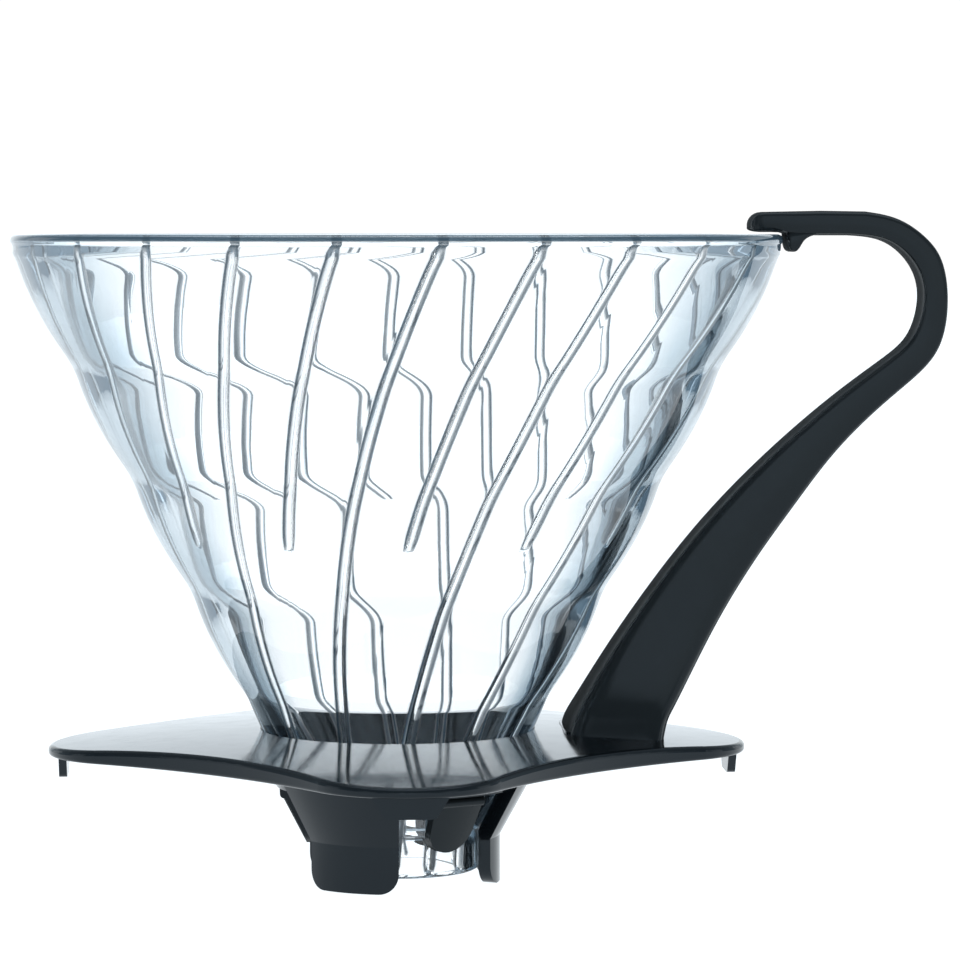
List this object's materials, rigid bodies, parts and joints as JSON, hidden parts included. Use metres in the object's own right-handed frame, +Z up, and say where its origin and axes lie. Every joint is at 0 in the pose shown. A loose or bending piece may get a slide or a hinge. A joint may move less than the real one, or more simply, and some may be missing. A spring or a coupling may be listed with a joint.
{
  "type": "pour over dripper",
  "caption": "Ribbed glass coffee cone in a black moulded stand with a lobed base plate, snap claws and a looped handle that hooks over the rim.",
  "frame": {"origin": "on the cone's axis, at the flat underside of the base plate, where it rests on a cup's rim", "axes": "+Z up along the cone's axis, +X towards the handle; Y = 0 is the plane of the handle"},
  "size_m": [0.1401, 0.115, 0.1005],
  "materials": {
    "glass": "clear polished",
    "black_plastic": "glossy"
  },
  "bodies": {
    "stand": {"base_plate": "black_plastic", "handle": "black_plastic"},
    "glass": {"glass_cone": "glass"},
    "hook": {"rim_hook": "black_plastic"},
    "claw_1": {"snap_claw_1": "black_plastic"},
    "claw_2": {"snap_claw_2": "black_plastic"},
    "claw_3": {"snap_claw_3": "black_plastic"}
  },
  "joints": [
    {"name": "glass_turn", "type": "hinge", "parent": "stand", "child": "glass", "pos_m": [0, 0, 0], "axis": [0, 0, 1], "continuous": true},
    {"name": "hook_flex", "type": "hinge", "parent": "stand", "child": "hook", "pos_m": [0.0806, 0, 0.06765], "axis": [0, 1, 0], "range_deg": [0, 8], "stiffness_Nm_per_rad": 1.6},
    {"name": "claw_1_flex", "type": "hinge", "parent": "stand", "child": "claw_1", "pos_m": [0.00853, 0.01477, -0.00575], "axis": [0.866, -0.5, 0], "range_deg": [0, 8], "stiffness_Nm_per_rad": 0.3},
    {"name": "claw_2_flex", "type": "hinge", "parent": "stand", "child": "claw_2", "pos_m": [-0.01706, 0, -0.00575], "axis": [0, 1, 0], "range_deg": [0, 8], "stiffness_Nm_per_rad": 0.3},
    {"name": "claw_3_flex", "type": "hinge", "parent": "stand", "child": "claw_3", "pos_m": [0.00853, -0.01477, -0.00575], "axis": [-0.866, -0.5, 0], "range_deg": [0, 8], "stiffness_Nm_per_rad": 0.3}
  ]
}
